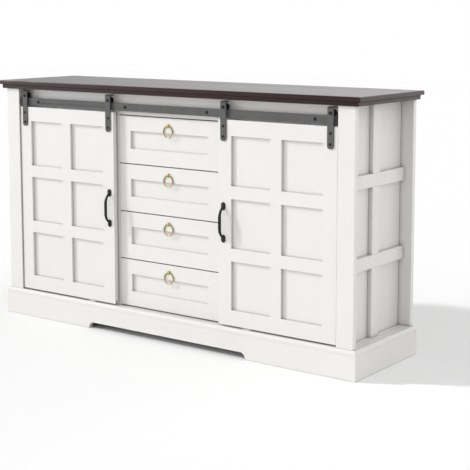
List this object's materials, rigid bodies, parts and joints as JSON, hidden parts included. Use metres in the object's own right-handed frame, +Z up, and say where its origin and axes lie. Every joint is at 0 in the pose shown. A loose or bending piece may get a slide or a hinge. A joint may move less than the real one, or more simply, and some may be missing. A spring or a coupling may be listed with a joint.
{
  "type": "sideboard",
  "caption": "Farmhouse sideboard: sliding barn-style doors hang from a flat-bar rail on either side of a stack of drawers, under a dark wooden top.",
  "frame": {"origin": "on the floor, under the middle of the whole part", "axes": "+X is the sideboard's right seen from the front and runs along its length, the front faces -Y, +Z is up"},
  "size_m": [1.524, 0.397, 0.86],
  "materials": {
    "white_paint": "satin white paint",
    "dark_wood": "dark espresso stain, satin varnish",
    "bare_wood": "clear lacquer",
    "back_board": "white foil on thin board",
    "grey_iron": "dark grey powder coat, satin",
    "black_iron": "black powder coat, satin",
    "black_plastic": "matt",
    "white_plastic": "matt",
    "antique_brass": "aged, dark in the recesses"
  },
  "bodies": {
    "cabinet": {"top_slab": "dark_wood", "top_underboard": "dark_wood", "front_post_left": "white_paint", "front_post_right": "white_paint", "rear_post_left": "white_paint", "rear_post_right": "white_paint", "side_panel_left": "white_paint", "side_panel_right": "white_paint", "side_stile_left": "white_paint", "side_stile_right": "white_paint", "side_rails_left": "white_paint", "side_rails_right": "white_paint", "divider_left": "white_paint", "divider_right": "white_paint", "base_deck": "white_paint", "plinth_front": "white_paint", "plinth_left": "white_paint", "plinth_right": "white_paint", "plinth_back": "white_paint", "header_rail": "white_paint", "shelf_left": "white_paint", "shelf_right": "white_paint", "back_panel": "back_board", "rail_bar": "grey_iron", "rail_bolts": "black_iron", "rail_stops": "black_plastic", "door_guides": "white_plastic", "drawer_runners": "bare_wood"},
    "door_left": {"door_left_frame": "white_paint", "door_left_panel": "white_paint", "door_left_handle": "black_iron", "door_left_hanger_inner": "grey_iron", "door_left_hanger_outer": "grey_iron", "door_left_fixings": "black_iron"},
    "roller_left_inner": {"roller_left_inner": "black_plastic"},
    "roller_left_outer": {"roller_left_outer": "black_plastic"},
    "door_right": {"door_right_frame": "white_paint", "door_right_panel": "white_paint", "door_right_handle": "black_iron", "door_right_hanger_inner": "grey_iron", "door_right_hanger_outer": "grey_iron", "door_right_fixings": "black_iron"},
    "roller_right_inner": {"roller_right_inner": "black_plastic"},
    "roller_right_outer": {"roller_right_outer": "black_plastic"},
    "drawer_1": {"drawer_1_front": "white_paint", "drawer_1_box": "bare_wood", "drawer_1_boss": "antique_brass"},
    "ring_1": {"drawer_1_ring": "antique_brass"},
    "drawer_2": {"drawer_2_front": "white_paint", "drawer_2_box": "bare_wood", "drawer_2_boss": "antique_brass"},
    "ring_2": {"drawer_2_ring": "antique_brass"},
    "drawer_3": {"drawer_3_front": "white_paint", "drawer_3_box": "bare_wood", "drawer_3_boss": "antique_brass"},
    "ring_3": {"drawer_3_ring": "antique_brass"},
    "drawer_4": {"drawer_4_front": "white_paint", "drawer_4_box": "bare_wood", "drawer_4_boss": "antique_brass"},
    "ring_4": {"drawer_4_ring": "antique_brass"}
  },
  "joints": [
    {"name": "door_left_slide", "type": "slide", "parent": "cabinet", "child": "door_left", "axis": [-1, 0, 0], "range_m": [-0.222, 0]},
    {"name": "roller_left_inner_spin", "type": "hinge", "parent": "door_left", "child": "roller_left_inner", "pos_m": [-0.2465, -0.1645, 0.8073], "axis": [0, -1, 0], "range_deg": [-1600, 10]},
    {"name": "roller_left_outer_spin", "type": "hinge", "parent": "door_left", "child": "roller_left_outer", "pos_m": [-0.647, -0.1645, 0.8073], "axis": [0, -1, 0], "range_deg": [-1600, 10]},
    {"name": "door_right_slide", "type": "slide", "parent": "cabinet", "child": "door_right", "axis": [1, 0, 0], "range_m": [-0.222, 0]},
    {"name": "roller_right_inner_spin", "type": "hinge", "parent": "door_right", "child": "roller_right_inner", "pos_m": [0.2465, -0.1645, 0.8073], "axis": [0, 1, 0], "range_deg": [-1600, 10]},
    {"name": "roller_right_outer_spin", "type": "hinge", "parent": "door_right", "child": "roller_right_outer", "pos_m": [0.647, -0.1645, 0.8073], "axis": [0, 1, 0], "range_deg": [-1600, 10]},
    {"name": "drawer_1_slide", "type": "slide", "parent": "cabinet", "child": "drawer_1", "axis": [0, -1, 0], "range_m": [0, 0.26]},
    {"name": "ring_1_hinge", "type": "hinge", "parent": "drawer_1", "child": "ring_1", "pos_m": [0, -0.1531, 0.7305], "axis": [-1, 0, 0], "range_deg": [0, 80]},
    {"name": "drawer_2_slide", "type": "slide", "parent": "cabinet", "child": "drawer_2", "axis": [0, -1, 0], "range_m": [0, 0.26]},
    {"name": "ring_2_hinge", "type": "hinge", "parent": "drawer_2", "child": "ring_2", "pos_m": [0, -0.1531, 0.5655], "axis": [-1, 0, 0], "range_deg": [0, 80]},
    {"name": "drawer_3_slide", "type": "slide", "parent": "cabinet", "child": "drawer_3", "axis": [0, -1, 0], "range_m": [0, 0.26]},
    {"name": "ring_3_hinge", "type": "hinge", "parent": "drawer_3", "child": "ring_3", "pos_m": [0, -0.1531, 0.4005], "axis": [-1, 0, 0], "range_deg": [0, 80]},
    {"name": "drawer_4_slide", "type": "slide", "parent": "cabinet", "child": "drawer_4", "axis": [0, -1, 0], "range_m": [0, 0.26]},
    {"name": "ring_4_hinge", "type": "hinge", "parent": "drawer_4", "child": "ring_4", "pos_m": [0, -0.1531, 0.2355], "axis": [-1, 0, 0], "range_deg": [0, 80]}
  ],
  "couplings": [
    {"joint": "roller_left_inner_spin", "follows": "door_left_slide", "rad_per_m": 125},
    {"joint": "roller_left_outer_spin", "follows": "door_left_slide", "rad_per_m": 125},
    {"joint": "roller_right_inner_spin", "follows": "door_right_slide", "rad_per_m": 125},
    {"joint": "roller_right_outer_spin", "follows": "door_right_slide", "rad_per_m": 125}
  ]
}
